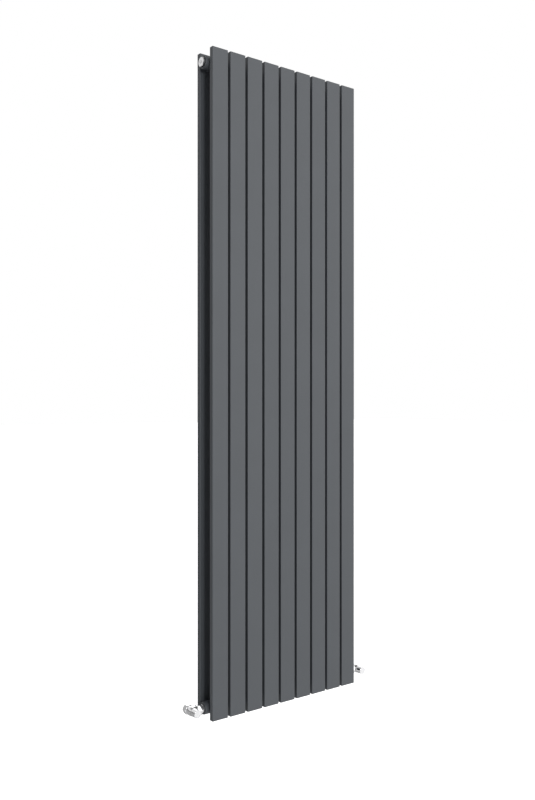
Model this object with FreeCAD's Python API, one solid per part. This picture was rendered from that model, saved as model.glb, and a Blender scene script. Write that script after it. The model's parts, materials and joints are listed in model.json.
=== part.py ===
"""Tall two-row flat-tube radiator with its wall brackets, air vent and angled valve pair.

Frame: the origin is the centre of the wall-fixing screw pattern, in the plane of the wall.
+X runs along the collectors, +Y points into the wall, +Z points up. Millimetres.
"""
import FreeCAD, Part
import os
from math import cos, pi, radians, sin

from FreeCAD import Placement, Rotation, Vector

# ---------------------------------------------------------------- driving dimensions
HEIGHT = 1800.0            # over the flat tubes
FLAT_COUNT = 9             # flat tubes in each row
FLAT_WIDTH = 50.0
FLAT_THICKNESS = 14.0
FLAT_PITCH = 58.0          # centre to centre, so the gaps are 8 mm
FLAT_WALL = 1.5
FLAT_CORNER = 1.2          # outside radius of the long edges
FLAT_INNER_CORNER = 0.4
END_CAP = 1.5              # thickness of the plate welded into each tube end

BODY_DEPTH = 75.0          # front of the front row to the back of the rear row
COLLECTOR_RADIUS = 16.85
COLLECTOR_WALL = 1.5
TOP_INSET = 34.0           # axis of the top collector below the top of the flat tubes
BOTTOM_INSET = 27.0        # axis of the bottom collector above the bottom of the flat tubes
COLLECTOR_OVERHANG = 6.0   # collector end beyond the outermost flat tubes
NIPPLE_RADIUS = 10.0
WATERWAY_RADIUS = 8.5      # bore through nipple, collector wall and flat-tube wall

WALL_GAP = 30.0            # wall to the back of the rear flat tubes
BRACKET_X = 174.0          # bracket centre from the middle, on the second flat tube from each side
BRACKET_Z = 750.0          # bracket centre above and below the middle

VALVE_OFFSET = 36.0        # valve centre beyond the collector end
THREAD_RADIUS = 10.4       # plain stand-in for a G1/2 male thread
THREAD_CLEARANCE = 0.05
PIPE_HOLE_RADIUS = 7.6     # takes a 15 mm pipe
HANDLE_RADIUS = 11.0
HANDLE_FRONT = 31.0        # front of the handle from the valve centre
VALVE_LIFT = 2.6           # travel of the valve plug off its seat

# ---------------------------------------------------------------- places worked out from them
REAR_BACK_Y = -WALL_GAP
REAR_CENTRE_Y = REAR_BACK_Y - FLAT_THICKNESS / 2
REAR_INNER_Y = REAR_BACK_Y - FLAT_THICKNESS
COLLECTOR_Y = REAR_BACK_Y - BODY_DEPTH / 2
FRONT_INNER_Y = REAR_BACK_Y - BODY_DEPTH + FLAT_THICKNESS
FRONT_CENTRE_Y = FRONT_INNER_Y - FLAT_THICKNESS / 2
TOP_Z = HEIGHT / 2 - TOP_INSET
BOTTOM_Z = -HEIGHT / 2 + BOTTOM_INSET
COLLECTOR_BORE = COLLECTOR_RADIUS - COLLECTOR_WALL
FLAT_XS = [(k - (FLAT_COUNT - 1) / 2) * FLAT_PITCH for k in range(FLAT_COUNT)]
PANEL_HALF_WIDTH = FLAT_XS[-1] + FLAT_WIDTH / 2
COLLECTOR_END_X = PANEL_HALF_WIDTH + COLLECTOR_OVERHANG
VALVE_X = COLLECTOR_END_X + VALVE_OFFSET
SOCKET_RADIUS = THREAD_RADIUS + THREAD_CLEARANCE


# ---------------------------------------------------------------- basic shapes
def rod(radius, start, end):
    """Solid cylinder from one point to another."""
    start = Vector(*start)
    axis = Vector(*end) - start
    return Part.makeCylinder(radius, axis.Length, start, axis)


def cone(start_radius, end_radius, start, end):
    """Solid cone frustum from one point to another."""
    start = Vector(*start)
    axis = Vector(*end) - start
    return Part.makeCone(start_radius, end_radius, axis.Length, start, axis)


def ring(outer, inner, start, end):
    """Plain tube or washer."""
    return rod(outer, start, end).cut(rod(inner, start, end))


def box(low, high):
    """Box between its lowest and highest corners."""
    low = Vector(*low)
    size = Vector(*high) - low
    return Part.makeBox(size.x, size.y, size.z, low)


def edges_along(shape, direction):
    """Straight edges that run parallel to a direction."""
    found = []
    for edge in shape.Edges:
        run = edge.Vertexes[-1].Point - edge.Vertexes[0].Point
        if run.Length > 0 and abs(run.normalize().dot(Vector(*direction))) > 0.999:
            found.append(edge)
    return found


def rounded_bar(width, thickness, corner, centre_x, centre_y, low_z, high_z):
    """Upright bar whose four long edges are rounded."""
    low = (centre_x - width / 2, centre_y - thickness / 2, low_z)
    high = (centre_x + width / 2, centre_y + thickness / 2, high_z)
    bar = box(low, high)
    return bar.makeFillet(corner, edges_along(bar, (0, 0, 1)))


def hex_prism(across_flats, start, end, first_corner=0.0):
    """Hexagonal prism; first_corner turns it about its axis, in degrees."""
    corner_radius = across_flats / 2 / cos(pi / 6)
    corners = []
    for k in range(6):
        angle = radians(first_corner) + k * pi / 3
        corners.append(Vector(corner_radius * cos(angle), corner_radius * sin(angle), 0))
    face = Part.Face(Part.makePolygon(corners + corners[:1]))
    start = Vector(*start)
    axis = Vector(*end) - start
    prism = face.extrude(Vector(0, 0, axis.Length))
    prism.Placement = Placement(start, Rotation(Vector(0, 0, 1), axis))
    return prism


def chamfered_hex(across_flats, start, end, first_corner=0.0):
    """Hexagonal nut blank whose corners are turned down at both ends."""
    corner_radius = across_flats / 2 / cos(pi / 6)
    reach = rod(corner_radius, start, end)
    turned_down = reach.makeChamfer(corner_radius - across_flats / 2 - 0.1, reach.Edges)
    return hex_prism(across_flats, start, end, first_corner).common(turned_down)


def barrel(end_radius, middle_radius, start, end):
    """Solid of revolution along Y that swells towards its middle."""
    middle = (start + end) / 2
    side = Part.Arc(
        Vector(end_radius, start, 0),
        Vector(middle_radius, middle, 0),
        Vector(end_radius, end, 0),
    ).toShape()
    first = Part.makeLine(Vector(0, start, 0), Vector(end_radius, start, 0))
    last = Part.makeLine(Vector(end_radius, end, 0), Vector(0, end, 0))
    axis = Part.makeLine(Vector(0, end, 0), Vector(0, start, 0))
    face = Part.Face(Part.Wire([first, side, last, axis]))
    return face.revolve(Vector(0, 0, 0), Vector(0, 1, 0), 360)


def fused(first, *others):
    """One solid from several that touch or overlap."""
    return first.fuse(list(others)).removeSplitter()


def placed(shape, position, outward):
    """A part drawn along +Z, moved so that its base is at position and +Z points outward."""
    copy = shape.copy()
    copy.Placement = Placement(Vector(*position), Rotation(Vector(0, 0, 1), Vector(*outward)))
    return copy


def export(name, *solids):
    """Write one node: a single solid, or a group of separate identical solids."""
    shape = solids[0] if len(solids) == 1 else Part.makeCompound(list(solids))
    shape.exportStep("parts/" + name + ".step")


# ---------------------------------------------------------------- radiator body
def waterways(start_y, end_y):
    """Cutters for the waterway holes of every flat tube, at both collectors."""
    cutters = []
    for x in FLAT_XS:
        for z in (BOTTOM_Z, TOP_Z):
            cutters.append(rod(WATERWAY_RADIUS, (x, start_y, z), (x, end_y, z)))
    return cutters


def flat_tube(centre_x, centre_y, inner_y):
    """Hollow flat tube with a waterway hole near each end of the side that faces the collectors."""
    low_z = -HEIGHT / 2 + END_CAP
    outside = rounded_bar(FLAT_WIDTH, FLAT_THICKNESS, FLAT_CORNER, centre_x, centre_y, low_z, -low_z)
    inside = rounded_bar(
        FLAT_WIDTH - 2 * FLAT_WALL, FLAT_THICKNESS - 2 * FLAT_WALL, FLAT_INNER_CORNER,
        centre_x, centre_y, low_z, -low_z,
    )
    holes = [rod(WATERWAY_RADIUS, (centre_x, centre_y, z), (centre_x, inner_y, z))
             for z in (BOTTOM_Z, TOP_Z)]
    return outside.cut([inside] + holes)


def end_caps(centre_y):
    """Plates that close both ends of every flat tube in a row."""
    caps = []
    for x in FLAT_XS:
        for low_z in (-HEIGHT / 2, HEIGHT / 2 - END_CAP):
            caps.append(rounded_bar(FLAT_WIDTH, FLAT_THICKNESS, FLAT_CORNER, x, centre_y,
                                    low_z, low_z + END_CAP))
    return caps


def collector(z):
    """Horizontal round tube with a waterway hole to every flat tube of both rows."""
    ends = ((-COLLECTOR_END_X, COLLECTOR_Y, z), (COLLECTOR_END_X, COLLECTOR_Y, z))
    tube = ring(COLLECTOR_RADIUS, COLLECTOR_BORE, *ends)
    return tube.cut(waterways(REAR_INNER_Y, FRONT_INNER_Y))


def nipples(inner_y):
    """Short tubes welded between the collectors and one row of flat tubes."""
    pieces = []
    for x in FLAT_XS:
        for z in (BOTTOM_Z, TOP_Z):
            tube = ring(NIPPLE_RADIUS, WATERWAY_RADIUS, (x, COLLECTOR_Y, z), (x, inner_y, z))
            span = ((x - FLAT_PITCH, COLLECTOR_Y, z), (x + FLAT_PITCH, COLLECTOR_Y, z))
            pieces.append(tube.cut(rod(COLLECTOR_RADIUS, *span)))
    return pieces


BOSS_LENGTH = 14.0


def collector_bosses():
    """Threaded sockets welded inside the four collector ends."""
    pieces = []
    for side in (-1, 1):
        for z in (BOTTOM_Z, TOP_Z):
            inner = (side * (COLLECTOR_END_X - BOSS_LENGTH), COLLECTOR_Y, z)
            outer = (side * COLLECTOR_END_X, COLLECTOR_Y, z)
            pieces.append(ring(COLLECTOR_BORE, SOCKET_RADIUS, inner, outer))
    return pieces


def flow_baffle():
    """Disc in the bottom collector that sends the incoming water up the first flat tubes."""
    x = (FLAT_XS[0] + FLAT_XS[1]) / 2
    thickness = 2.0
    start = (x - thickness / 2, COLLECTOR_Y, BOTTOM_Z)
    return rod(COLLECTOR_BORE, start, (x + thickness / 2, COLLECTOR_Y, BOTTOM_Z))


# ---------------------------------------------------------------- vent and plug, drawn along +Z
PLUG_AF = 24.0
PLUG_THREAD = 12.0
PLUG_FACE = 7.0            # outer face from the collector end
SEAL_THICKNESS = 1.0
BLEED_THREAD_RADIUS = 3.0
BLEED_POCKET_RADIUS = 5.0
BLEED_POCKET_FLOOR = 4.0   # from the collector end
BLEED_SEAT = -3.0
BLEED_SHOULDER = -1.4      # where the needle's cone meets its thread
BLEED_SQUARE = 5.0         # across the flats
BLEED_HEAD = 6.7           # end of the square, from the collector end
AIR_PASSAGE_RADIUS = 1.5
KEY_SOCKET = 10.0          # across the flats of the blanking plug's socket
KEY_SOCKET_FLOOR = -2.0


def plug_blank():
    """Hexagon-headed G1/2 plug; its corners point to the front and back once placed."""
    head = chamfered_hex(PLUG_AF, (0, 0, SEAL_THICKNESS), (0, 0, PLUG_FACE), 90)
    return fused(head, rod(THREAD_RADIUS, (0, 0, -PLUG_THREAD), (0, 0, SEAL_THICKNESS)))


def air_vent_body():
    """Plug with an air passage, a seat for the bleed screw and an outlet hole underneath."""
    bore_radius = BLEED_THREAD_RADIUS + 0.03
    outlet_z = (BLEED_POCKET_FLOOR + PLUG_FACE) / 2
    seat_top = BLEED_SHOULDER - 0.1
    cutters = [
        rod(AIR_PASSAGE_RADIUS, (0, 0, -PLUG_THREAD), (0, 0, BLEED_SEAT)),
        cone(AIR_PASSAGE_RADIUS, bore_radius, (0, 0, BLEED_SEAT), (0, 0, seat_top)),
        rod(bore_radius, (0, 0, seat_top), (0, 0, BLEED_POCKET_FLOOR)),
        rod(BLEED_POCKET_RADIUS, (0, 0, BLEED_POCKET_FLOOR), (0, 0, PLUG_FACE)),
        rod(1.0, (0, 0, outlet_z), (-PLUG_AF, 0, outlet_z)),
    ]
    return plug_blank().cut(cutters)


def bleed_screw():
    """Needle screw with a 5 mm square for the bleed key."""
    half = BLEED_SQUARE / 2
    square = box((-half, -half, BLEED_POCKET_FLOOR), (half, half, BLEED_HEAD))
    square = square.makeChamfer(0.4, [e for e in square.Edges if e.CenterOfMass.z > BLEED_HEAD - 0.1])
    thread = rod(BLEED_THREAD_RADIUS, (0, 0, BLEED_SHOULDER), (0, 0, BLEED_POCKET_FLOOR))
    tip_radius = AIR_PASSAGE_RADIUS + 0.1
    tip = cone(tip_radius, BLEED_THREAD_RADIUS, (0, 0, BLEED_SEAT + 0.2), (0, 0, BLEED_SHOULDER))
    return fused(square, thread, tip)


def blanking_plug():
    """Solid plug with a hexagon key socket in its face."""
    return plug_blank().cut(hex_prism(KEY_SOCKET, (0, 0, KEY_SOCKET_FLOOR), (0, 0, PLUG_FACE), 90))


def plug_seal():
    """Flat ring between the plug head and the collector end."""
    return ring(PLUG_AF / 2, SOCKET_RADIUS, (0, 0, 0), (0, 0, SEAL_THICKNESS))


# ---------------------------------------------------------------- wall fixing
# Drawn about a point on the wall: X across, -Y away from the wall, Z up.
PLATE_THICKNESS = 3.0
PLATE_HALF_WIDTH = 15.0
PLATE_HALF_HEIGHT = 42.0
PLATE_CORNER = 5.0
SCREW_HOLE_RADIUS = 3.5
SCREW_HOLE_Z = 30.0        # above and below the bracket centre
ARM_THICKNESS = 4.0
ARM_REACH = 25.0           # front of the arm from the wall
ARM_BEND = 9.0             # where the arm's sloping edges end, from the wall
ARM_TOP_Z = 12.0
ARM_UNDERSIDE_Z = -7.0
PIN_Y = -18.0
PIN_Z = 6.0
PIN_RADIUS = 3.0
SADDLE_WALL = 1.2
SADDLE_FLANGE = 1.2        # thickness of the saddle's side flanges
SADDLE_LIP = 1.4           # flange beyond the saddle wall
LUG_HALF_WIDTH = 15.0
LUG_SHEET = 2.5
LUG_BACK_Y = -12.0
LUG_LOW_Z = -20.0
LUG_TOP_Z = 14.0
LOCK_SCREW_Z = -12.0
LOCK_SCREW_RADIUS = 2.5
LOCK_SCREW_TIP = 6.0       # past the centre of the arm
LOCK_HEAD_RADIUS = 4.25
LOCK_HEAD_LENGTH = 5.0
LOCK_KEY = 4.0             # across the flats of its key socket
LOCK_KEY_DEPTH = 2.5


def slot_cutter(radius, half_length, centre_z, top_z):
    """Round-bottomed slot along X, open upwards."""
    round_end = rod(radius, (-half_length, PIN_Y, centre_z), (half_length, PIN_Y, centre_z))
    low = (-half_length, PIN_Y - radius, centre_z)
    return round_end.fuse(box(low, (half_length, PIN_Y + radius, top_z))).removeSplitter()


def wall_bracket():
    """Wall plate with two screw holes and a notched arm that carries the radiator's pin."""
    low = (-PLATE_HALF_WIDTH, -PLATE_THICKNESS, -PLATE_HALF_HEIGHT)
    plate = box(low, (PLATE_HALF_WIDTH, 0, PLATE_HALF_HEIGHT))
    plate = plate.makeFillet(PLATE_CORNER, edges_along(plate, (0, 1, 0)))
    outline = [
        (-PLATE_THICKNESS, ARM_UNDERSIDE_Z - 13),
        (-ARM_BEND, ARM_UNDERSIDE_Z - 11),
        (-ARM_BEND - 4, ARM_UNDERSIDE_Z),
        (-ARM_REACH, ARM_UNDERSIDE_Z),
        (-ARM_REACH, ARM_TOP_Z),
        (-ARM_BEND, ARM_TOP_Z),
        (-PLATE_THICKNESS, ARM_TOP_Z + 4),
    ]
    corners = [Vector(-ARM_THICKNESS / 2, y, z) for y, z in outline]
    arm = Part.Face(Part.makePolygon(corners + corners[:1])).extrude(Vector(ARM_THICKNESS, 0, 0))
    cutters = [rod(SCREW_HOLE_RADIUS, (0, -PLATE_THICKNESS, z), (0, 0, z))
               for z in (-SCREW_HOLE_Z, SCREW_HOLE_Z)]
    cutters.append(slot_cutter(PIN_RADIUS + SADDLE_WALL, ARM_THICKNESS, PIN_Z, ARM_TOP_Z + 1))
    return fused(plate, arm).cut(cutters)


def bracket_saddle():
    """Nylon liner of the notch, with a flange on each side of the arm."""
    half = ARM_THICKNESS / 2
    wide = half + SADDLE_FLANGE
    outer = slot_cutter(PIN_RADIUS + SADDLE_WALL, half, PIN_Z, ARM_TOP_Z)
    lips = slot_cutter(PIN_RADIUS + SADDLE_WALL + SADDLE_LIP, wide, PIN_Z, ARM_TOP_Z)
    lips = lips.cut(box((-half, -ARM_REACH, ARM_UNDERSIDE_Z), (half, 0, ARM_TOP_Z + 1)))
    inner = slot_cutter(PIN_RADIUS + 0.05, wide, PIN_Z, ARM_TOP_Z)
    return outer.fuse(lips).removeSplitter().cut(inner)


def hanging_lug():
    """Folded channel welded to the back of a rear flat tube."""
    low = (-LUG_HALF_WIDTH, REAR_BACK_Y, LUG_LOW_Z)
    channel = box(low, (LUG_HALF_WIDTH, LUG_BACK_Y, LUG_TOP_Z))
    hollow_low = (-LUG_HALF_WIDTH + LUG_SHEET, REAR_BACK_Y + LUG_SHEET, LUG_LOW_Z)
    hollow = box(hollow_low, (LUG_HALF_WIDTH - LUG_SHEET, LUG_BACK_Y, LUG_TOP_Z))
    pin_hole = rod(PIN_RADIUS, (-LUG_HALF_WIDTH, PIN_Y, PIN_Z), (LUG_HALF_WIDTH, PIN_Y, PIN_Z))
    screw_hole = rod(LOCK_SCREW_RADIUS, (-LUG_HALF_WIDTH, PIN_Y, LOCK_SCREW_Z), (0, PIN_Y, LOCK_SCREW_Z))
    return channel.cut([hollow, pin_hole, screw_hole])


def lug_pin():
    """Cross pin that rests in the saddle."""
    return rod(PIN_RADIUS, (-LUG_HALF_WIDTH, PIN_Y, PIN_Z), (LUG_HALF_WIDTH, PIN_Y, PIN_Z))


def locking_screw():
    """Socket screw whose end passes under the bracket arm and stops the radiator lifting off."""
    seat = (-LUG_HALF_WIDTH, PIN_Y, LOCK_SCREW_Z)
    front = (-LUG_HALF_WIDTH - LOCK_HEAD_LENGTH, PIN_Y, LOCK_SCREW_Z)
    key_end = (front[0] + LOCK_KEY_DEPTH, PIN_Y, LOCK_SCREW_Z)
    shank = rod(LOCK_SCREW_RADIUS, seat, (LOCK_SCREW_TIP, PIN_Y, LOCK_SCREW_Z))
    head = rod(LOCK_HEAD_RADIUS, front, seat)
    return fused(head, shank).cut(hex_prism(LOCK_KEY, front, key_end))


# ---------------------------------------------------------------- angled valve
# Drawn about the crossing of its two axes: +X towards the collector, -Y towards the handle,
# +Y towards the wall. The seat faces the handle.
BODY_BACK = 11.0           # along Y
BODY_FRONT = -11.0
BODY_END_RADIUS = 11.0
BODY_MIDDLE_RADIUS = 12.6
CHAMBER_RADIUS = 7.65
SEAT_BORE_RADIUS = 5.0
SEAT_FLOOR = 3.5
SEAT_LIP = 2.5             # the washer closes against this face
LIP_WIDTH = 1.2
PORT_END = 20.0            # end of the pipe port
PIPE_STOP = 9.0            # depth at which the pipe stops
TAIL_BORE_RADIUS = 6.0
TAIL_JOINT = 21.0          # where the body meets the tail, along X
NUT_AF = 24.0
NUT_START = 11.5           # compression nut, along Y
NUT_BACK = 26.0
OLIVE_MIDDLE = 20.5
OLIVE_BULGE = 1.0
OLIVE_ROOT = 0.2           # thickness of the olive at its two ends
OLIVE_HALF_LENGTH = 3.0
BONNET_BACK = -3.5
BONNET_FACE = -14.0
BONNET_AF = 16.0
NECK_RADIUS = 6.5
NECK_END = -18.5
STEM_RADIUS = 3.5
SQUARE = 6.0               # across the flats of the spindle's square
SQUARE_CORNER_RADIUS = 3.9
SCREW_HOLE = 1.6           # radius of the hole for the handle's screw
SCREW_HOLE_DEPTH = 8.0
GUIDE = 9.2                # square guide bore of the bonnet
COLLAR_START = -10.0
COLLAR_END = -11.5
GLAND_Y = -15.5
GLAND_RADIUS = 5.15
GLAND_HALF_WIDTH = 0.85
SEAL_MIDDLE_RADIUS = 4.35
SEAL_SECTION_RADIUS = 0.78
DISC_RADIUS = 6.8          # plug disc and its washer
DISC_FRONT = -0.6
DISC_BACK = 0.4
PLUG_NUT_FRONT = -7.0
PLUG_BORE_FLOOR = -0.4
DRIVE_RADIUS = 2.5         # plain stand-in for the drive thread
# The spindle's tip stays clear of the floor of the plug's bore at full lift.
DRIVE_TIP = PLUG_BORE_FLOOR - VALVE_LIFT - 0.2


def along_y(start, end):
    """End points on the handle axis."""
    return ((0, start, 0), (0, end, 0))


def along_x(start, end):
    """End points on the tail axis."""
    return ((start, 0, 0), (end, 0, 0))


def olive_space():
    """The olive's outside, as a cutter for the cones that squeeze it."""
    root = PIPE_HOLE_RADIUS + OLIVE_ROOT
    bulge = PIPE_HOLE_RADIUS + OLIVE_BULGE
    first = cone(root, bulge, *along_y(OLIVE_MIDDLE - OLIVE_HALF_LENGTH, OLIVE_MIDDLE - 0.5))
    middle = rod(bulge, *along_y(OLIVE_MIDDLE - 0.5, OLIVE_MIDDLE + 0.5))
    last = cone(bulge, root, *along_y(OLIVE_MIDDLE + 0.5, OLIVE_MIDDLE + OLIVE_HALF_LENGTH))
    return fused(first, middle, last)


def olive():
    """Compression ring, double coned outside and a close fit on the pipe inside."""
    ends = along_y(OLIVE_MIDDLE - OLIVE_HALF_LENGTH, OLIVE_MIDDLE + OLIVE_HALF_LENGTH)
    return olive_space().cut(rod(PIPE_HOLE_RADIUS, *ends))


def tail_nose():
    """Cone that seals the tail into the mouth of the body's outlet."""
    return cone(TAIL_BORE_RADIUS + 1.0, TAIL_BORE_RADIUS + 2.5, *along_x(TAIL_JOINT - 2, TAIL_JOINT))


def valve_body():
    """Forged body: barrel, threaded pipe port to the wall, threaded outlet to the collector."""
    shell = fused(
        barrel(BODY_END_RADIUS, BODY_MIDDLE_RADIUS, BODY_FRONT, BODY_BACK),
        rod(THREAD_RADIUS, *along_y(BODY_BACK, PORT_END)),
        rod(THREAD_RADIUS, *along_x(0, TAIL_JOINT)),
    )
    chamber = rod(CHAMBER_RADIUS, *along_y(BODY_FRONT, SEAT_FLOOR))
    lip = ring(SEAT_BORE_RADIUS + LIP_WIDTH, SEAT_BORE_RADIUS, *along_y(SEAT_LIP, SEAT_FLOOR))
    cutters = [
        chamber.cut(lip),
        rod(SEAT_BORE_RADIUS, *along_y(SEAT_LIP, PIPE_STOP)),
        rod(PIPE_HOLE_RADIUS, *along_y(PIPE_STOP, PORT_END)),
        rod(TAIL_BORE_RADIUS, *along_x(CHAMBER_RADIUS - 2, TAIL_JOINT)),
        tail_nose(),
        olive_space(),
    ]
    return shell.cut(cutters)


def compression_nut():
    """Nut that squeezes the olive onto the pipe."""
    blank = chamfered_hex(NUT_AF, *along_y(NUT_START, NUT_BACK))
    cutters = [
        rod(SOCKET_RADIUS, *along_y(NUT_START, OLIVE_MIDDLE)),
        rod(PIPE_HOLE_RADIUS, *along_y(OLIVE_MIDDLE, NUT_BACK)),
        olive_space(),
    ]
    return blank.cut(cutters)


UNION_AF = 25.0
UNION_START = 13.5
UNION_END = 28.5
FLANGE_END = 24.0
SHANK_RADIUS = 8.2
COLLAR_WIDTH = 5.0         # round collar next to the radiator


def union_nut():
    """Nut that draws the tail onto the body."""
    blank = chamfered_hex(UNION_AF, *along_x(UNION_START, UNION_END), 30)
    thread = rod(SOCKET_RADIUS, *along_x(UNION_START, FLANGE_END))
    return blank.cut([thread, rod(SHANK_RADIUS + 0.1, *along_x(FLANGE_END, UNION_END))])


def valve_tail():
    """Tail that screws into the collector: nose, flange, shank, collar and thread."""
    collar_start = VALVE_OFFSET - COLLAR_WIDTH
    collar = rod(HANDLE_RADIUS, *along_x(collar_start, VALVE_OFFSET))
    collar = collar.makeChamfer(0.6, collar.Edges)
    outside = fused(
        tail_nose(),
        rod(THREAD_RADIUS - 0.2, *along_x(TAIL_JOINT, FLANGE_END)),
        rod(SHANK_RADIUS, *along_x(FLANGE_END, collar_start)),
        collar,
        rod(THREAD_RADIUS, *along_x(VALVE_OFFSET, VALVE_OFFSET + PLUG_THREAD)),
    )
    return outside.cut(rod(TAIL_BORE_RADIUS, *along_x(TAIL_JOINT - 2, VALVE_OFFSET + PLUG_THREAD)))


def valve_bonnet():
    """Headwork screwed into the body: guides the plug, traps the spindle and holds its seal."""
    outside = fused(
        rod(CHAMBER_RADIUS - THREAD_CLEARANCE, *along_y(BONNET_BACK, BODY_FRONT)),
        chamfered_hex(BONNET_AF, *along_y(BODY_FRONT, BONNET_FACE)),
        rod(NECK_RADIUS, *along_y(BONNET_FACE, NECK_END)),
    )
    cutters = [
        box((-GUIDE / 2, COLLAR_START, -GUIDE / 2), (GUIDE / 2, BONNET_BACK, GUIDE / 2)),
        rod(GUIDE / 2, *along_y(COLLAR_START, COLLAR_END)),
        rod(STEM_RADIUS + THREAD_CLEARANCE, *along_y(COLLAR_END, NECK_END)),
        rod(GLAND_RADIUS, *along_y(GLAND_Y + GLAND_HALF_WIDTH, GLAND_Y - GLAND_HALF_WIDTH)),
    ]
    return outside.cut(cutters)


def gland_seal():
    """O-ring round the spindle."""
    centre = Vector(0, GLAND_Y, 0)
    return Part.makeTorus(SEAL_MIDDLE_RADIUS, SEAL_SECTION_RADIUS, centre, Vector(0, 1, 0))


def valve_spindle(square_end):
    """Non-rising spindle: drive thread, trapped collar, stem and square end."""
    square = box((-SQUARE / 2, square_end, -SQUARE / 2), (SQUARE / 2, NECK_END, SQUARE / 2))
    square = square.common(rod(SQUARE_CORNER_RADIUS, *along_y(square_end, NECK_END)))
    spindle = fused(
        rod(DRIVE_RADIUS, *along_y(DRIVE_TIP, COLLAR_START - 0.1)),
        rod(GUIDE / 2 - 0.1, *along_y(COLLAR_START - 0.1, COLLAR_END + 0.1)),
        rod(STEM_RADIUS, *along_y(COLLAR_END + 0.1, NECK_END)),
        square,
    )
    return spindle.cut(rod(SCREW_HOLE, *along_y(square_end, square_end + SCREW_HOLE_DEPTH)))


def valve_plug():
    """Plug carrier: disc behind the washer and a square, threaded nut guided by the bonnet."""
    disc = rod(DISC_RADIUS, *along_y(DISC_BACK, DISC_FRONT))
    size = GUIDE / 2 - 0.1
    nut = box((-size, PLUG_NUT_FRONT, -size), (size, DISC_FRONT, size))
    thread = rod(DRIVE_RADIUS + THREAD_CLEARANCE, *along_y(PLUG_NUT_FRONT, PLUG_BORE_FLOOR))
    return fused(disc, nut).cut(thread)


def valve_washer():
    """Rubber disc that closes on the seat lip."""
    return rod(DISC_RADIUS, *along_y(SEAT_LIP - 0.1, DISC_BACK))


HANDLE_BACK = -11.6
HANDLE_CAVITY_RADIUS = 9.6
SQUARE_END = -24.4
SCREW_SEAT = -25.2
COVER_SEAT = -HANDLE_FRONT + 3.0
COVER_RADIUS = 8.0
CAP_FRONT_WALL = 2.0       # front of the hollow lockshield cap
HANDLE_EDGE = 0.8
GROOVE_START = -13.6
GROOVE_END = -14.4
GROOVE_DEPTH = 0.4
HANDLE_SCREW_RADIUS = 1.55
HANDLE_SCREW_TIP = -17.9
SCREW_HEAD_RADIUS = 3.9
SCREW_HEAD_HEIGHT = 2.2
SCREW_SLOT_WIDTH = 1.0
SCREW_SLOT_DEPTH = 0.9


def front_edges(shape, front_y):
    """Edges that lie in a shape's foremost plane."""
    return [edge for edge in shape.Edges if edge.CenterOfMass.y < front_y + 0.1]


def handle_shell():
    """Plain round handle with a rounded front edge and one fine groove."""
    blank = rod(HANDLE_RADIUS, *along_y(HANDLE_BACK, -HANDLE_FRONT))
    blank = blank.makeFillet(HANDLE_EDGE, front_edges(blank, -HANDLE_FRONT))
    inner = HANDLE_RADIUS - GROOVE_DEPTH
    return blank.cut(ring(HANDLE_RADIUS + 1, inner, *along_y(GROOVE_START, GROOVE_END)))


def handwheel():
    """Handle with a square socket for the spindle and a recess for its screw and cover."""
    hub_back = NECK_END - 0.6
    size = SQUARE / 2 + 0.03
    cutters = [
        rod(HANDLE_CAVITY_RADIUS, *along_y(HANDLE_BACK, hub_back)),
        box((-size, SQUARE_END, -size), (size, hub_back, size)),
        rod(HANDLE_SCREW_RADIUS + 0.55, *along_y(SQUARE_END, COVER_SEAT)),
        rod(SCREW_HEAD_RADIUS + 0.3, *along_y(SCREW_SEAT, COVER_SEAT)),
        rod(COVER_RADIUS, *along_y(COVER_SEAT, -HANDLE_FRONT)),
    ]
    return handle_shell().cut(cutters)


def handwheel_screw():
    """Pan-head screw that holds the handle on the spindle."""
    front = SCREW_SEAT - SCREW_HEAD_HEIGHT
    head = rod(SCREW_HEAD_RADIUS, *along_y(SCREW_SEAT, front))
    head = head.makeFillet(HANDLE_EDGE, front_edges(head, front))
    half = SCREW_SLOT_WIDTH / 2
    slot_low = (-SCREW_HEAD_RADIUS, front, -half)
    slot = box(slot_low, (SCREW_HEAD_RADIUS, front + SCREW_SLOT_DEPTH, half))
    return fused(head, rod(HANDLE_SCREW_RADIUS, *along_y(HANDLE_SCREW_TIP, SCREW_SEAT))).cut(slot)


def handwheel_cover():
    """Push-in disc that hides the screw."""
    disc = rod(COVER_RADIUS, *along_y(COVER_SEAT, -HANDLE_FRONT))
    return disc.makeChamfer(0.3, front_edges(disc, -HANDLE_FRONT))


def lockshield_cap():
    """Hollow push-on cap that hides the lockshield spindle."""
    cavity_end = -HANDLE_FRONT + CAP_FRONT_WALL
    return handle_shell().cut(rod(HANDLE_CAVITY_RADIUS, *along_y(HANDLE_BACK, cavity_end)))


def at_valve(shape, side):
    """Move a valve part to the left (-1) or right (+1) collector end."""
    if side > 0:
        shape = shape.mirror(Vector(0, 0, 0), Vector(1, 0, 0))
    return shape.translated(Vector(side * VALVE_X, COLLECTOR_Y, BOTTOM_Z))


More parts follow.
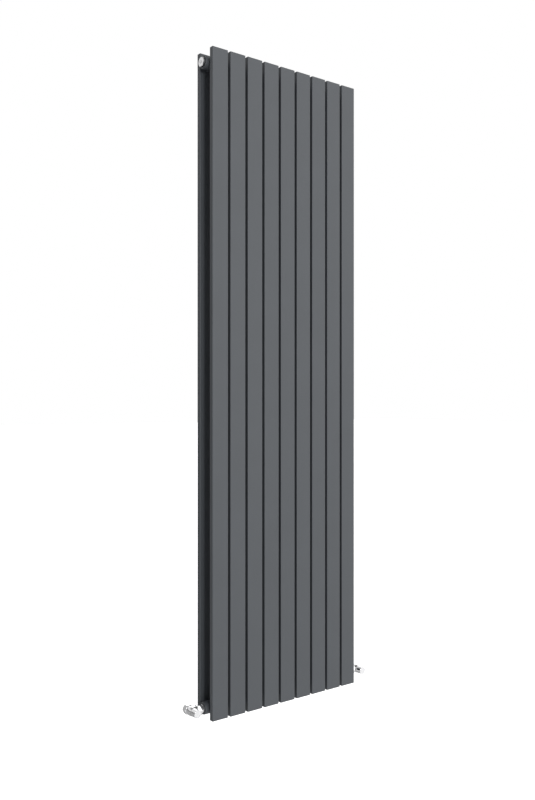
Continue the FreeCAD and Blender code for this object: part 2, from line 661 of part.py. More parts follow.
# ---------------------------------------------------------------- write every node
def main():
    os.makedirs("parts", exist_ok=True)

    for number, x in enumerate(FLAT_XS, start=1):
        export(f"front_flat_tube_{number}", flat_tube(x, FRONT_CENTRE_Y, FRONT_INNER_Y))
        export(f"rear_flat_tube_{number}", flat_tube(x, REAR_CENTRE_Y, REAR_INNER_Y))
    export("front_end_caps", *end_caps(FRONT_CENTRE_Y))
    export("rear_end_caps", *end_caps(REAR_CENTRE_Y))
    export("top_collector", collector(TOP_Z))
    export("bottom_collector", collector(BOTTOM_Z))
    export("front_nipples", *nipples(FRONT_INNER_Y))
    export("rear_nipples", *nipples(REAR_INNER_Y))
    export("collector_bosses", *collector_bosses())
    export("flow_baffle", flow_baffle())

    left_end = ((-COLLECTOR_END_X, COLLECTOR_Y, TOP_Z), (-1, 0, 0))
    right_end = ((COLLECTOR_END_X, COLLECTOR_Y, TOP_Z), (1, 0, 0))
    export("air_vent_body", placed(air_vent_body(), *left_end))
    export("bleed_screw", placed(bleed_screw(), *left_end))
    export("blanking_plug", placed(blanking_plug(), *right_end))
    export("plug_seals", placed(plug_seal(), *left_end), placed(plug_seal(), *right_end))

    corners = {
        "top_left": Vector(-BRACKET_X, 0, BRACKET_Z),
        "top_right": Vector(BRACKET_X, 0, BRACKET_Z),
        "bottom_left": Vector(-BRACKET_X, 0, -BRACKET_Z),
        "bottom_right": Vector(BRACKET_X, 0, -BRACKET_Z),
    }
    for corner, place in corners.items():
        export("wall_bracket_" + corner, wall_bracket().translated(place))
    for name, maker in (
        ("hanging_lugs", hanging_lug),
        ("lug_pins", lug_pin),
        ("bracket_saddles", bracket_saddle),
        ("locking_screws", locking_screw),
    ):
        export(name, *[maker().translated(place) for place in corners.values()])

    for side, prefix, square_end in ((-1, "flow_valve", SQUARE_END), (1, "lockshield", SQUARE_END + 1)):
        export(prefix + "_body", at_valve(valve_body(), side))
        export(prefix + "_tail", at_valve(valve_tail(), side))
        export(prefix + "_union_nut", at_valve(union_nut(), side))
        export(prefix + "_compression_nut", at_valve(compression_nut(), side))
        export(prefix + "_bonnet", at_valve(valve_bonnet(), side))
        export(prefix + "_spindle", at_valve(valve_spindle(square_end), side))
        export(prefix + "_plug", at_valve(valve_plug(), side))
        export(prefix + "_washer", at_valve(valve_washer(), side))
    export("handwheel", at_valve(handwheel(), -1))
    export("handwheel_screw", at_valve(handwheel_screw(), -1))
    export("handwheel_cover", at_valve(handwheel_cover(), -1))
    export("lockshield_cap", at_valve(lockshield_cap(), 1))
    export("valve_olives", at_valve(olive(), -1), at_valve(olive(), 1))
    export("gland_seals", at_valve(gland_seal(), -1), at_valve(gland_seal(), 1))


main()
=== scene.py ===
"""Looks of the tall two-row flat-tube radiator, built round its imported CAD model. Metres."""

import json
from math import cos, pi, radians, sin, sqrt

import bmesh
import bpy
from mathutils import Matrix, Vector

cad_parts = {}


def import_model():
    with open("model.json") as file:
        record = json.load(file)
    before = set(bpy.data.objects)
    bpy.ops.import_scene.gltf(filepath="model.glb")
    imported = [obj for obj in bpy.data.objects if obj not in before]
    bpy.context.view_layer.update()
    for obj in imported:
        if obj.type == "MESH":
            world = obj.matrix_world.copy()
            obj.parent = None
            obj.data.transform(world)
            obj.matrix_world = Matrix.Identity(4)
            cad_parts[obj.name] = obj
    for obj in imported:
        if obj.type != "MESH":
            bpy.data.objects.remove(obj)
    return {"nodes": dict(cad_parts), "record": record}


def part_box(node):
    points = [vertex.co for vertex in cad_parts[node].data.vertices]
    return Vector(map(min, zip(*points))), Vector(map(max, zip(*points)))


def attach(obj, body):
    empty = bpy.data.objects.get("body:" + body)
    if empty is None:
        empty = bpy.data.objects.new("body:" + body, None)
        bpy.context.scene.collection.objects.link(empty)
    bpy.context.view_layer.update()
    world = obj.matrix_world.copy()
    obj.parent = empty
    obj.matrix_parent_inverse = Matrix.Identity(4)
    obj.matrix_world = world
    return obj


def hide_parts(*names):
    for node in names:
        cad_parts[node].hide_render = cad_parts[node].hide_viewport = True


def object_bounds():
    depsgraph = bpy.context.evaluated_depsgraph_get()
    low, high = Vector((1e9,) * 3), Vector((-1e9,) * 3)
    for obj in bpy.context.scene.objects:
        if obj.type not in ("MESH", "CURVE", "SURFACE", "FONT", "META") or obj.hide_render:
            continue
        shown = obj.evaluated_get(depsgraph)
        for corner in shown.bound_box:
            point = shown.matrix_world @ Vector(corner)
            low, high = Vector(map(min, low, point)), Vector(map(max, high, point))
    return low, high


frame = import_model()
cad_low, cad_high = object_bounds()

MM = 0.001
ROUND = 64                 # points round a turned piece
FINE_ROUND = 96            # points round a collector, which is the largest of them
ROOT = "radiator"          # the body that stays on the wall
SHARP_ANGLE = radians(40)  # edges above it stay sharp


# ---------------------------------------------------------------- meshes made of loops
class Solids:
    """Vertices and faces of one piece, which may hold several separate closed solids."""

    def __init__(self):
        self.vertices = []
        self.faces = []

    def skin(self, loops, ring=False):
        """Joins equal loops of points one after another; a ring also joins the last to the first."""
        start = len(self.vertices)
        count = len(loops[0])
        for loop in loops:
            self.vertices.extend(loop)
        pairs = [(i, i + 1) for i in range(len(loops) - 1)]
        if ring:
            pairs.append((len(loops) - 1, 0))
        for a, b in pairs:
            for k in range(count):
                n = (k + 1) % count
                self.faces.append((start + a * count + k, start + a * count + n,
                                   start + b * count + n, start + b * count + k))
        if not ring:
            last = start + (len(loops) - 1) * count
            self.faces.append(tuple(range(start + count - 1, start - 1, -1)))
            self.faces.append(tuple(range(last, last + count)))

    def piece(self, name, finish, body=ROOT, stands_for=()):
        """Turns what was gathered into a Blender object that rides on a body."""
        mesh = bpy.data.meshes.new(name)
        mesh.from_pydata([tuple(v) for v in self.vertices], [], self.faces)
        mesh.update()
        obj = bpy.data.objects.new(name, mesh)
        bpy.context.scene.collection.objects.link(obj)
        turn_faces_outward(mesh)
        mesh.shade_smooth()
        mesh.set_sharp_from_angle(angle=SHARP_ANGLE)
        weighted = obj.modifiers.new("weighted_normals", "WEIGHTED_NORMAL")
        weighted.keep_sharp = True
        mesh.materials.append(FINISHES[finish])
        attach(obj, body)
        if stands_for:
            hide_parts(*stands_for)


def turn_faces_outward(mesh):
    """Makes every face of a closed mesh point out of it."""
    work = bmesh.new()
    work.from_mesh(mesh)
    bmesh.ops.recalc_face_normals(work, faces=work.faces)
    work.to_mesh(mesh)
    work.free()


def across(axis):
    """Two unit directions at right angles to an axis and to each other."""
    axis = Vector(axis)
    first = axis.cross(Vector((0, 0, 1)))
    upright = first.length < 0.1
    if upright:
        first = axis.cross(Vector((0, 1, 0)))
    first.normalize()
    return first, axis.cross(first)


def circle(centre, axis, radius, count=ROUND):
    """Points round a circle."""
    first, second = across(axis)
    angles = [2 * pi * k / count for k in range(count)]
    return [Vector(centre) + first * radius * cos(a) + second * radius * sin(a) for a in angles]


def turned(solids, profile, origin, axis, ring=False, count=ROUND):
    """Solid of revolution from (radius, distance along the axis) points."""
    axis = Vector(axis)
    loops = [circle(Vector(origin) + axis * along, axis, radius, count) for radius, along in profile]
    solids.skin(loops, ring)


def eased(radius, start, end, ease):
    """Profile of a plain rod with both rims rounded off by one point between rim and side."""
    cut = 0.3 * ease
    return [(radius - ease, start), (radius - cut, start + cut), (radius, start + ease),
            (radius, end - ease), (radius - cut, end - cut), (radius - ease, end)]


def eased_ring(outer, inner, start, end, ease):
    """Profile of a tube with all four rims eased."""
    return [(outer - ease, start), (outer, start + ease), (outer, end - ease), (outer - ease, end),
            (inner + ease, end), (inner, end - ease), (inner, start + ease), (inner + ease, start)]


def rounded_rectangle(centre_x, centre_y, z, width, depth, corner, steps=8):
    """Points round a horizontal rectangle with rounded corners."""
    points = []
    for quarter, (sx, sy) in enumerate(((1, 1), (-1, 1), (-1, -1), (1, -1))):
        middle_x = centre_x + sx * (width / 2 - corner)
        middle_y = centre_y + sy * (depth / 2 - corner)
        for k in range(steps + 1):
            angle = (quarter + k / steps) * pi / 2
            points.append(Vector((middle_x + corner * cos(angle), middle_y + corner * sin(angle), z)))
    return points


def bead(solids, path, normals, size, closed=True):
    """Weld bead: a small round section swept along a path, with the ripples of the weld pool."""
    count = 8
    swell, waist = 1.09, 0.95
    loops = []
    total = len(path)
    for k, point in enumerate(path):
        before = path[k - 1] if closed or k else path[k]
        after = path[(k + 1) % total] if closed or k < total - 1 else path[k]
        along = (after - before).normalized()
        up = normals[k] - along * normals[k].dot(along)
        up.normalize()
        side = along.cross(up)
        ripple = size * (swell if k % 2 else waist)
        loops.append([point + up * ripple * cos(2 * pi * j / count) + side * ripple * sin(2 * pi * j / count)
                      for j in range(count)])
    solids.skin(loops, ring=closed)


# ---------------------------------------------------------------- finishes
NOISE_SPAN = (0.3, 0.7)    # where nearly all of a noise texture's values lie


def material(name):
    """Empty node material with its Principled shader and a small node maker."""
    made = bpy.data.materials.new(name)
    made.use_nodes = True
    tree = made.node_tree
    shader = tree.nodes["Principled BSDF"]

    def node(kind, **values):
        new = tree.nodes.new(kind)
        for key, value in values.items():
            if key in new.inputs:
                new.inputs[key].default_value = value
            else:
                setattr(new, key, value)
        return new

    coords = node("ShaderNodeTexCoord")
    return made, tree, shader, node, coords.outputs["Object"]


def two_tone(tree, shader, node, value, dark, light):
    """Drives the base colour between two near shades."""
    ramp = node("ShaderNodeValToRGB")
    for stop, place, shade in zip(ramp.color_ramp.elements, NOISE_SPAN, (dark, light)):
        stop.position = place
        stop.color = (*shade, 1)
    tree.links.new(value, ramp.inputs["Fac"])
    tree.links.new(ramp.outputs["Color"], shader.inputs["Base Color"])


def vary_roughness(tree, shader, node, value, low, high):
    """Drives roughness between two values."""
    span = node("ShaderNodeMapRange")
    span.inputs["From Min"].default_value, span.inputs["From Max"].default_value = NOISE_SPAN
    span.inputs["To Min"].default_value = low
    span.inputs["To Max"].default_value = high
    tree.links.new(value, span.inputs["Value"])
    tree.links.new(span.outputs["Result"], shader.inputs["Roughness"])


def powder_coat():
    """Satin anthracite powder coat: fine orange peel, slight mottling, faint sparkle in the grain."""
    made, tree, shader, node, coords = material("anthracite_powder_coat")
    cloud = node("ShaderNodeTexNoise", Scale=9.0, Detail=3.0)
    grain = node("ShaderNodeTexNoise", Scale=1900.0, Detail=2.0)
    peel = node("ShaderNodeTexNoise", Scale=420.0, Detail=1.0)
    for texture in (cloud, grain, peel):
        tree.links.new(coords, texture.inputs["Vector"])
    factor, first, second = 0, 2, 3
    blend = node("ShaderNodeMix", data_type="FLOAT")
    blend.inputs[factor].default_value = 0.35
    tree.links.new(cloud.outputs["Fac"], blend.inputs[first])
    tree.links.new(grain.outputs["Fac"], blend.inputs[second])
    two_tone(tree, shader, node, blend.outputs[0], (0.0440, 0.0490, 0.0555), (0.0490, 0.0547, 0.0620))
    vary_roughness(tree, shader, node, grain.outputs["Fac"], 0.44, 0.56)
    fine = node("ShaderNodeBump", Strength=0.16, Distance=0.00006)
    broad = node("ShaderNodeBump", Strength=0.25, Distance=0.00010)
    tree.links.new(grain.outputs["Fac"], fine.inputs["Height"])
    tree.links.new(peel.outputs["Fac"], broad.inputs["Height"])
    tree.links.new(fine.outputs["Normal"], broad.inputs["Normal"])
    tree.links.new(broad.outputs["Normal"], shader.inputs["Normal"])
    shader.inputs["Specular IOR Level"].default_value = 0.57
    return made


def metal(name, dark, light, smooth, rough, cloud_scale, scratch_scale, scratch_strength):
    """Bare or plated metal with cloudy polish and fine machining marks."""
    made, tree, shader, node, coords = material(name)
    shader.inputs["Metallic"].default_value = 1.0
    cloud = node("ShaderNodeTexNoise", Scale=cloud_scale, Detail=4.0)
    marks = node("ShaderNodeTexNoise", Scale=scratch_scale, Detail=2.0)
    for texture in (cloud, marks):
        tree.links.new(coords, texture.inputs["Vector"])
    two_tone(tree, shader, node, cloud.outputs["Fac"], dark, light)
    vary_roughness(tree, shader, node, cloud.outputs["Fac"], smooth, rough)
    bump = node("ShaderNodeBump", Strength=scratch_strength, Distance=0.00003)
    tree.links.new(marks.outputs["Fac"], bump.inputs["Height"])
    tree.links.new(bump.outputs["Normal"], shader.inputs["Normal"])
    return made


def moulded(name, dark, light, smooth, rough, grain_scale):
    """Rubber or plastic with a fine moulded grain."""
    made, tree, shader, node, coords = material(name)
    grain = node("ShaderNodeTexNoise", Scale=grain_scale, Detail=3.0)
    tree.links.new(coords, grain.inputs["Vector"])
    two_tone(tree, shader, node, grain.outputs["Fac"], dark, light)
    vary_roughness(tree, shader, node, grain.outputs["Fac"], smooth, rough)
    bump = node("ShaderNodeBump", Strength=0.3, Distance=0.00005)
    tree.links.new(grain.outputs["Fac"], bump.inputs["Height"])
    tree.links.new(bump.outputs["Normal"], shader.inputs["Normal"])
    return made


FINISHES = {
    "powder_coat": powder_coat(),
    "chrome": metal("polished_chrome", (0.80, 0.80, 0.81), (0.88, 0.88, 0.89), smooth=0.03, rough=0.08,
                    cloud_scale=260, scratch_scale=2600, scratch_strength=0.05),
    "brass": metal("machined_brass", (0.58, 0.41, 0.16), (0.74, 0.55, 0.25), smooth=0.22, rough=0.36,
                   cloud_scale=400, scratch_scale=3200, scratch_strength=0.25),
    "zinc_plate": metal("bright_zinc", (0.50, 0.51, 0.50), (0.66, 0.68, 0.69), smooth=0.25, rough=0.42,
                        cloud_scale=350, scratch_scale=2400, scratch_strength=0.3),
    "bare_steel": metal("bare_steel", (0.28, 0.27, 0.26), (0.42, 0.41, 0.40), smooth=0.38, rough=0.55,
                        cloud_scale=180, scratch_scale=1500, scratch_strength=0.4),
    "rubber": moulded("moulded_rubber", (0.012, 0.012, 0.013), (0.026, 0.026, 0.027), smooth=0.55,
                      rough=0.75, grain_scale=1800),
    "nylon": moulded("natural_nylon", (0.62, 0.61, 0.56), (0.74, 0.73, 0.68), smooth=0.38, rough=0.5,
                     grain_scale=1500),
}

for subpart in frame["record"]["subparts"]:
    node_mesh = frame["nodes"][subpart["node"]].data
    node_mesh.materials.clear()
    node_mesh.materials.append(FINISHES[subpart["material_slot"]])


# ---------------------------------------------------------------- places, from the frame
def middle(node):
    """Centre of a CAD node's box."""
    low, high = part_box(node)
    return (low + high) / 2


WALL = 1.5 * MM            # of tubes and collectors
EDGE = 1.2 * MM            # rounding of the flat tubes' long edges
INNER_EDGE = 0.4 * MM      # rounding of the same edges inside
CAP_EDGE = 0.5 * MM        # rounding of the dressed tube ends
NIPPLE_RADIUS = 10.0 * MM
WATERWAY_RADIUS = 8.5 * MM
SOCKET_RADIUS = 10.45 * MM
TUBE_NUMBERS = range(1, 10)
ROWS = ("front", "rear")

collector_low, collector_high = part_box("top_collector")
COLLECTOR_RADIUS = (collector_high.z - collector_low.z) / 2
COLLECTOR_X = collector_high.x
COLLECTOR_Y = middle("top_collector").y
TOP_Z = middle("top_collector").z
BOTTOM_Z = middle("bottom_collector").z
TUBE_XS = [middle(f"front_flat_tube_{k}").x for k in TUBE_NUMBERS]
INNER_Y = {"front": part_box("front_flat_tube_1")[1].y, "rear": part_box("rear_flat_tube_1")[0].y}
REAR_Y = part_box("rear_flat_tube_1")[1].y


# ---------------------------------------------------------------- tubes, caps and collectors
def flat_tube(row, number):
    """Hollow flat tube with smoothly rounded long edges."""
    node = f"{row}_flat_tube_{number}"
    low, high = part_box(node)
    x, y = middle(node).xy
    width, depth = high.x - low.x, high.y - low.y
    bore_width, bore_depth = width - 2 * WALL, depth - 2 * WALL
    loops = [
        rounded_rectangle(x, y, low.z, width, depth, EDGE),
        rounded_rectangle(x, y, high.z, width, depth, EDGE),
        rounded_rectangle(x, y, high.z, bore_width, bore_depth, INNER_EDGE),
        rounded_rectangle(x, y, low.z, bore_width, bore_depth, INNER_EDGE),
    ]
    solids = Solids()
    solids.skin(loops, ring=True)
    solids.piece(f"{row}_tube_{number}", "powder_coat", stands_for=[node])


def end_caps(row):
    """Plates welded into the tube ends and dressed back to a soft edge."""
    steps = 4
    cap_low, cap_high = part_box(f"{row}_end_caps")
    solids = Solids()
    for number in TUBE_NUMBERS:
        node = f"{row}_flat_tube_{number}"
        low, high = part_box(node)
        x, y = middle(node).xy
        width, depth = high.x - low.x, high.y - low.y
        for seam, face, up in ((high.z, cap_high.z, 1), (low.z, cap_low.z, -1)):
            loops = [rounded_rectangle(x, y, seam, width, depth, EDGE)]
            for k in range(steps + 1):
                angle = k / steps * pi / 2
                inset = CAP_EDGE * (1 - cos(angle))
                z = face - up * CAP_EDGE * (1 - sin(angle))
                loops.append(rounded_rectangle(x, y, z, width - 2 * inset, depth - 2 * inset, EDGE - inset))
            solids.skin(loops)
    solids.piece(f"{row}_caps", "powder_coat", stands_for=[f"{row}_end_caps"])


def collector(name):
    """Round header tube with eased rims."""
    low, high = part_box(name)
    rim = 0.4 * MM
    profile = eased_ring(COLLECTOR_RADIUS, COLLECTOR_RADIUS - WALL, low.x, high.x, rim)
    solids = Solids()
    turned(solids, profile, (0, COLLECTOR_Y, middle(name).z), (1, 0, 0), ring=True, count=FINE_ROUND)
    solids.piece(name.replace("_collector", "_header"), "powder_coat", stands_for=[name])


def bosses():
    """Threaded sockets in the collector ends, each with its weld round the rim."""
    length, rim, weld = 14 * MM, 0.3 * MM, 0.75 * MM
    weld_points = 120
    outer = COLLECTOR_RADIUS - WALL
    profile = eased_ring(outer, SOCKET_RADIUS, -length, 0, rim)
    solids = Solids()
    welds = Solids()
    for side in (-1, 1):
        outward = Vector((side, 0, 0))
        for z in (BOTTOM_Z, TOP_Z):
            mouth = (side * COLLECTOR_X, COLLECTOR_Y, z)
            turned(solids, profile, mouth, outward, ring=True)
            bead(welds, circle(mouth, outward, outer, weld_points), [outward] * weld_points, weld)
    solids.piece("header_sockets", "powder_coat", stands_for=["collector_bosses"])
    welds.piece("header_end_welds", "powder_coat")


def nipples(row):
    """Short tubes from the collectors to one row, saddled onto the collector, with both welds."""
    toward = 1 if INNER_Y[row] > COLLECTOR_Y else -1
    weld = 1.1 * MM
    tubes = Solids()
    welds = Solids()

    def saddle(x, z, radius):
        """Rim that follows the round of the collector."""
        points = []
        for k in range(ROUND):
            angle = 2 * pi * k / ROUND
            up = radius * sin(angle)
            reach = sqrt(COLLECTOR_RADIUS ** 2 - up ** 2)
            points.append(Vector((x + radius * cos(angle), COLLECTOR_Y + toward * reach, z + up)))
        return points

    def flat_end(x, z, radius):
        """Rim that lies on the tubes' inner faces."""
        return [Vector((p.x, INNER_Y[row], p.z)) for p in saddle(x, z, radius)]

    for x in TUBE_XS:
        for z in (BOTTOM_Z, TOP_Z):
            tubes.skin([saddle(x, z, NIPPLE_RADIUS), flat_end(x, z, NIPPLE_RADIUS),
                        flat_end(x, z, WATERWAY_RADIUS), saddle(x, z, WATERWAY_RADIUS)], ring=True)
            for loop in (saddle(x, z, NIPPLE_RADIUS), flat_end(x, z, NIPPLE_RADIUS)):
                outward = [Vector((p.x - x, 0, p.z - z)).normalized() for p in loop]
                bead(welds, loop, outward, weld)
    tubes.piece(f"{row}_spigots", "powder_coat", stands_for=[f"{row}_nipples"])
    welds.piece(f"{row}_spigot_welds", "powder_coat")


for row in ROWS:
    for number in TUBE_NUMBERS:
        flat_tube(row, number)
    end_caps(row)
    nipples(row)
collector("top_collector")
collector("bottom_collector")
bosses()


# ---------------------------------------------------------------- wall fixing
LUG_X = 174 * MM                 # places of the four lugs
LUG_Z = 750 * MM
LUG_HALF = 15 * MM               # half the width of a lug
LUG_SHEET = 2.5 * MM
LUG_BEND = 4.0 * MM              # outside radius of its folds
LUG_WALL_EDGE = -12 * MM         # where its two flanges end
LUG_DOWN, LUG_UP = -20 * MM, 14 * MM
PIN_Y = -18 * MM
PIN_UP = 6 * MM
PIN_RADIUS = 3 * MM
LOCK_DOWN = -12 * MM             # locking screw below the lug's middle
LUG_PLACES = [(x, z) for x in (-LUG_X, LUG_X) for z in (-LUG_Z, LUG_Z)]


def channel_section(x, z):
    """Outline of the folded lug seen from above, with rounded bends."""
    steps = 6
    inside = LUG_BEND - LUG_SHEET

    def fold(side, radius, start, end):
        angles = [start + (end - start) * k / steps for k in range(steps + 1)]
        return [(side * (LUG_HALF - LUG_BEND) + radius * cos(a), REAR_Y + LUG_BEND - radius * sin(a))
                for a in angles]

    points = [(-LUG_HALF, LUG_WALL_EDGE), *fold(-1, LUG_BEND, pi, pi / 2), *fold(1, LUG_BEND, pi / 2, 0),
              (LUG_HALF, LUG_WALL_EDGE), (LUG_HALF - LUG_SHEET, LUG_WALL_EDGE), *fold(1, inside, 0, pi / 2),
              *fold(-1, inside, pi / 2, pi), (-LUG_HALF + LUG_SHEET, LUG_WALL_EDGE)]
    return [Vector((x + px, py, z)) for px, py in points]


def hanging_lugs():
    """Folded steel channels welded to the rear tubes, with a weld down each side."""
    weld, weld_inset, weld_lift = 1.3 * MM, 2.2 * MM, 0.3 * MM
    steps = 30
    lugs = Solids()
    welds = Solids()
    for x, z in LUG_PLACES:
        lugs.skin([channel_section(x, z + LUG_DOWN), channel_section(x, z + LUG_UP)])
        for side in (-1, 1):
            weld_x = x + side * (LUG_HALF - weld_inset)
            heights = [z + LUG_DOWN + (LUG_UP - LUG_DOWN) * k / steps for k in range(steps + 1)]
            path = [Vector((weld_x, REAR_Y + weld_lift, height)) for height in heights]
            bead(welds, path, [Vector((side, 1, 0)).normalized()] * len(path), weld, closed=False)
    lugs.piece("rear_lugs", "powder_coat", stands_for=["hanging_lugs"])
    welds.piece("rear_lug_welds", "powder_coat")


def lug_pins():
    """Cross pins with eased ends."""
    profile = eased(PIN_RADIUS, -LUG_HALF, LUG_HALF, ease=0.5 * MM)
    solids = Solids()
    for x, z in LUG_PLACES:
        turned(solids, profile, (x, PIN_Y, z + PIN_UP), (1, 0, 0))
    solids.piece("cross_pins", "zinc_plate", stands_for=["lug_pins"])


def saddle_section(x, z, outer, top):
    """Outline of a round-bottomed U, seen along X, that a pin drops into."""
    clearance = 0.05 * MM
    inner = PIN_RADIUS + clearance
    steps = 16
    points = [(-outer, top)]
    points += [(-outer * cos(k * pi / steps), PIN_UP - outer * sin(k * pi / steps)) for k in range(steps + 1)]
    points += [(outer, top), (inner, top)]
    points += [(inner * cos(k * pi / steps), PIN_UP - inner * sin(k * pi / steps)) for k in range(steps + 1)]
    points.append((-inner, top))
    return [Vector((x, PIN_Y + py, z + pz)) for py, pz in points]


def bracket_saddles():
    """Nylon liners with a lip on each side of the bracket arm."""
    half, lip = 2.0 * MM, 1.2 * MM
    narrow, wide = 4.2 * MM, 5.6 * MM
    top = 12 * MM
    stations = ((-half - lip, wide), (-half, wide), (-half, narrow), (half, narrow), (half, wide),
                (half + lip, wide))
    solids = Solids()
    for x, z in LUG_PLACES:
        solids.skin([saddle_section(x + dx, z, outer, top) for dx, outer in stations])
    solids.piece("nylon_saddles", "nylon", stands_for=["bracket_saddles"])


def hexagon(centre, axis, across_flats, count=ROUND):
    """Points round a hexagon; a multiple of six puts one on each corner."""
    first, second = across(axis)
    points = []
    for k in range(count):
        angle = 2 * pi * k / count
        to_flat = (angle + pi / 6) % (pi / 3) - pi / 6
        radius = across_flats / 2 / cos(to_flat)
        points.append(Vector(centre) + first * radius * cos(angle) + second * radius * sin(angle))
    return points


def locking_screws():
    """Socket-head screws under the bracket arms: eased head, key socket, ridged thread."""
    shank, core, neck, point = 2.5 * MM, 2.15 * MM, 2.4 * MM, 1.9 * MM
    head, head_length = 4.25 * MM, 5 * MM
    rim, crown = 0.3 * MM, 0.6 * MM
    key, key_depth, key_taper = 4.2 * MM, 2.5 * MM, 0.2 * MM
    tip, lead, thread_end = 21 * MM, 0.5 * MM, 5 * MM
    pitch = 0.8 * MM
    count = 60
    outward = Vector((-1, 0, 0))

    profile = [(point, -tip)]
    along = -tip + lead
    while along < -thread_end:
        profile += [(core, along), (shank, along + pitch / 2)]
        along += pitch
    profile += [(neck, along + pitch / 4), (neck, 0), (head - rim, 0), (head, rim),
                (head, head_length - crown), (head - crown, head_length)]

    solids = Solids()
    for x, z in LUG_PLACES:
        seat = Vector((x - LUG_HALF, PIN_Y, z + LOCK_DOWN))
        loops = [circle(seat + outward * place, outward, radius, count) for radius, place in profile]
        mouth = seat + outward * head_length
        bottom = mouth - outward * key_depth
        loops += [hexagon(mouth, outward, key, count), hexagon(bottom, outward, key - key_taper, count)]
        solids.skin(loops)
    solids.piece("lock_screws", "zinc_plate", stands_for=["locking_screws"])


hanging_lugs()
lug_pins()
bracket_saddles()
locking_screws()


# ---------------------------------------------------------------- seals and olives
def plug_seals():
    """Flat rings under the vent and the blanking plug."""
    outer, thickness, ease = 12 * MM, 1 * MM, 0.25 * MM
    profile = eased_ring(outer, SOCKET_RADIUS, 0, thickness, ease)
    solids = Solids()
    for side in (-1, 1):
        turned(solids, profile, (side * COLLECTOR_X, COLLECTOR_Y, TOP_Z), (side, 0, 0), ring=True)
    solids.piece("vent_and_plug_seals", "rubber", stands_for=["plug_seals"])


VALVE_CENTRES = [Vector((middle(end).x, COLLECTOR_Y, BOTTOM_Z)) for end in ("handwheel", "lockshield_cap")]


def valve_olives():
    """Double-coned compression rings inside the pipe nuts."""
    bore, edge, crown = 7.6 * MM, 7.8 * MM, 8.6 * MM
    start, end = 17.5 * MM, 23.5 * MM
    cone = 2.5 * MM
    profile = [(bore, start), (edge, start), (crown, start + cone), (crown, end - cone), (edge, end),
               (bore, end)]
    solids = Solids()
    for centre in VALVE_CENTRES:
        turned(solids, profile, centre, (0, 1, 0), ring=True)
    solids.piece("olives", "brass", stands_for=["valve_olives"])


def gland_seals():
    """O-rings round the valve spindles."""
    ring_radius, cord_radius = 4.35 * MM, 0.78 * MM
    along_spindle = 15.5 * MM
    ring_points, cord_points = 72, 16
    axis = Vector((0, 1, 0))
    angles = [2 * pi * k / cord_points for k in range(cord_points)]
    solids = Solids()
    for centre in VALVE_CENTRES:
        groove = centre - axis * along_spindle
        loops = []
        for point in circle(groove, axis, ring_radius, ring_points):
            out = (point - groove).normalized()
            loops.append([point + out * cord_radius * cos(a) + axis * cord_radius * sin(a) for a in angles])
        solids.skin(loops, ring=True)
    solids.piece("spindle_o_rings", "rubber", stands_for=["gland_seals"])


plug_seals()
valve_olives()
gland_seals()


# ---------------------------------------------------------------- floor, light and camera
def graded(tree, value, low, high, start, end):
    """Smooth run from start to end, each a number or a socket, while a value runs from low to high."""
    span = tree.nodes.new("ShaderNodeMapRange")
    span.interpolation_type = "SMOOTHSTEP"
    tree.links.new(value, span.inputs["Value"])
    span.inputs["From Min"].default_value = low
    span.inputs["From Max"].default_value = high
    for name, end_value in (("To Min", start), ("To Max", end)):
        if isinstance(end_value, float):
            span.inputs[name].default_value = end_value
        else:
            tree.links.new(end_value, span.inputs[name])
    return span.outputs["Result"]


def floor():
    """Plain pale floor: white to the camera, and lights the radiator only from in front of it."""
    reach, drop = 30.0, 0.15
    z = cad_low.z - drop
    corners = [(-reach, -reach, z), (reach, -reach, z), (reach, reach, z), (-reach, reach, z)]
    mesh = bpy.data.meshes.new("studio_floor")
    mesh.from_pydata(corners, [], [(0, 1, 2, 3)])
    obj = bpy.data.objects.new("studio_floor", mesh)
    bpy.context.scene.collection.objects.link(obj)
    made = bpy.data.materials.new("pale_floor")
    made.use_nodes = True
    tree = made.node_tree
    shader = tree.nodes["Principled BSDF"]
    shader.inputs["Base Color"].default_value = (0.5, 0.5, 0.5, 1)
    shader.inputs["Roughness"].default_value = 0.9
    shader.inputs["Emission Color"].default_value = (1, 1, 1, 1)
    place = tree.nodes.new("ShaderNodeSeparateXYZ")
    tree.links.new(tree.nodes.new("ShaderNodeTexCoord").outputs["Object"], place.inputs["Vector"])
    path = tree.nodes.new("ShaderNodeLightPath")
    glow = graded(tree, place.outputs["Y"], low=-0.25, high=0.1, start=0.6, end=0.0)
    seen = graded(tree, path.outputs["Is Camera Ray"], low=0.0, high=1.0, start=glow, end=1.0)
    tree.links.new(seen, shader.inputs["Emission Strength"])
    mesh.materials.append(made)


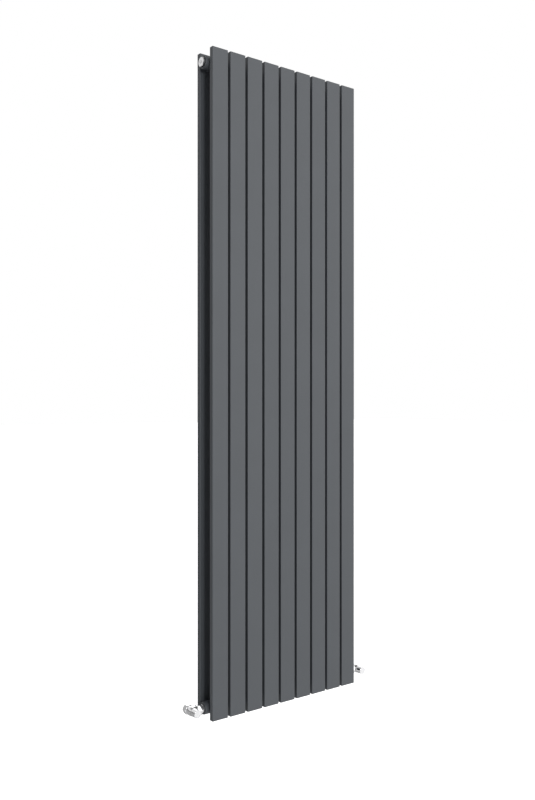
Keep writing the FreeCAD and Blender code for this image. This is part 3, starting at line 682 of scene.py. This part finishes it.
def world():
    """White to the camera. As light it is bright in front and behind to the right, dim elsewhere."""
    made = bpy.data.worlds.new("studio_white")
    bpy.context.scene.world = made
    made.use_nodes = True
    tree = made.node_tree
    background = tree.nodes["Background"]
    background.inputs["Color"].default_value = (1, 1, 1, 1)
    direction = tree.nodes.new("ShaderNodeSeparateXYZ")
    tree.links.new(tree.nodes.new("ShaderNodeTexCoord").outputs["Generated"], direction.inputs["Vector"])
    x, y, z = (direction.outputs[name] for name in "XYZ")
    path = tree.nodes.new("ShaderNodeLightPath")
    behind_left = graded(tree, z, low=0.1, high=0.45, start=0.2, end=0.85)
    ahead = graded(tree, x, low=-0.75, high=0.0, start=0.4, end=1.63)
    behind = graded(tree, x, low=-0.05, high=0.4, start=behind_left, end=1.6)
    around = graded(tree, y, low=-0.25, high=0.25, start=ahead, end=behind)
    light = graded(tree, z, low=0.55, high=0.9, start=around, end=0.25)
    seen = graded(tree, path.outputs["Is Camera Ray"], low=0.0, high=1.0, start=light, end=1.0)
    tree.links.new(seen, background.inputs["Strength"])


def soft_box(name, place, target, width, height, power):
    """Large rectangular studio light aimed at a point."""
    light = bpy.data.lights.new(name, "AREA")
    light.shape = "RECTANGLE"
    light.size = width
    light.size_y = height
    light.energy = power
    obj = bpy.data.objects.new(name, light)
    bpy.context.scene.collection.objects.link(obj)
    obj.location = place
    obj.rotation_mode = "QUATERNION"
    obj.rotation_quaternion = (Vector(target) - Vector(place)).to_track_quat("-Z", "Y")


def camera():
    """Level camera at half the radiator's height, in front and to the left, with a 38 mm lens."""
    turn = radians(37.414)
    data = bpy.data.cameras.new("camera")
    data.lens = 38.08
    data.sensor_width = 36.0
    obj = bpy.data.objects.new("camera", data)
    bpy.context.scene.collection.objects.link(obj)
    obj.location = (-1.5095, -1.9827, -0.0432)
    obj.rotation_euler = (pi / 2, 0, -turn)
    bpy.context.scene.camera = obj


floor()
world()
soft_box("key", place=(-1.72, -5.8, 1.0), target=(0, -0.07, 0), width=1.0, height=1.2, power=148)
camera()
bpy.context.scene.view_settings.view_transform = "Standard"
